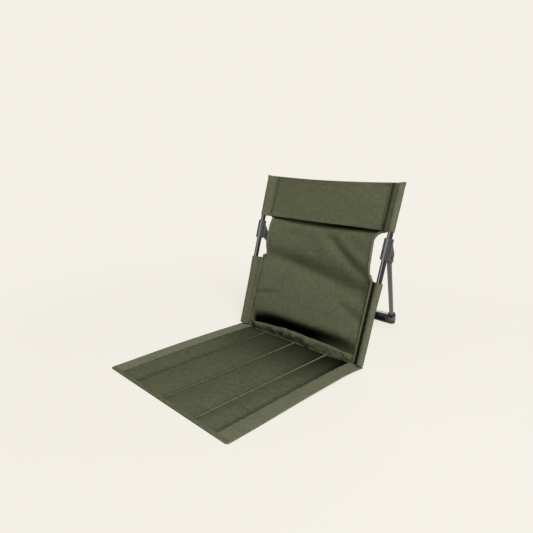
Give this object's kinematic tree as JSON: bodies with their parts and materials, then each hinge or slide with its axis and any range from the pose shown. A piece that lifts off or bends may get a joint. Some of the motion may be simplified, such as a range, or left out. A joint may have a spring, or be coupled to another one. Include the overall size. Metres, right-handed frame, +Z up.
{
  "type": "low folding chair",
  "caption": "Low folding chair: a padded cloth seat that lies on the ground, a reclined cloth back between tubes, and hinged rear legs with a foot bar.",
  "frame": {"origin": "on the floor, under the seat's underside, midway between the points where the axes of the back tubes meet the floor", "axes": "+X to the right as seen from in front, +Y to the rear, +Z up"},
  "size_m": [0.396, 0.695, 0.3894],
  "materials": {
    "cloth": "woven, matt, olive",
    "base_cloth": "coated weave, dark olive",
    "foam": "soft foam sheet",
    "black_tube": "gloss black",
    "grey_tube": "satin grey",
    "grey_plastic": "fine grain",
    "black_plastic": "smooth",
    "steel": "plated"
  },
  "bodies": {
    "seat": {"seat_underside": "base_cloth", "seat_top": "cloth", "seat_foam_outer_left": "foam", "seat_foam_inner_left": "foam", "seat_foam_inner_right": "foam", "seat_foam_outer_right": "foam", "seat_border_left": "cloth", "seat_border_right": "cloth", "rear_strip": "cloth"},
    "backrest": {"back_tube_left": "black_tube", "back_tube_right": "black_tube", "tube_top_plug_left": "black_plastic", "tube_top_plug_right": "black_plastic", "tube_bottom_plug_left": "black_plastic", "tube_bottom_plug_right": "black_plastic", "leg_bracket_left": "grey_plastic", "leg_bracket_right": "grey_plastic", "bracket_screw_left": "steel", "bracket_screw_right": "steel", "hinge_pin_left": "steel", "hinge_pin_right": "steel", "back_panel": "cloth", "head_panel": "cloth", "head_sleeve_left": "cloth", "head_sleeve_right": "cloth", "lower_sleeve_left": "cloth", "lower_sleeve_right": "cloth"},
    "support": {"leg_knuckle_left": "grey_plastic", "leg_knuckle_right": "grey_plastic", "leg_left": "grey_tube", "leg_right": "grey_tube", "knuckle_rivet_left": "steel", "knuckle_rivet_right": "steel", "collar_rivet_left": "steel", "collar_rivet_right": "steel", "foot_bar": "grey_plastic"}
  },
  "joints": [
    {"name": "back_fold", "type": "hinge", "parent": "seat", "child": "backrest", "pos_m": [0, 0.00487, 0.01733], "axis": [1, 0, 0], "range_deg": [0, 105.7], "deforming": ["rear_strip"]},
    {"name": "support_fold", "type": "hinge", "parent": "backrest", "child": "support", "pos_m": [0, 0.08325, 0.23521], "axis": [-1, 0, 0], "range_deg": [0, 56]}
  ]
}
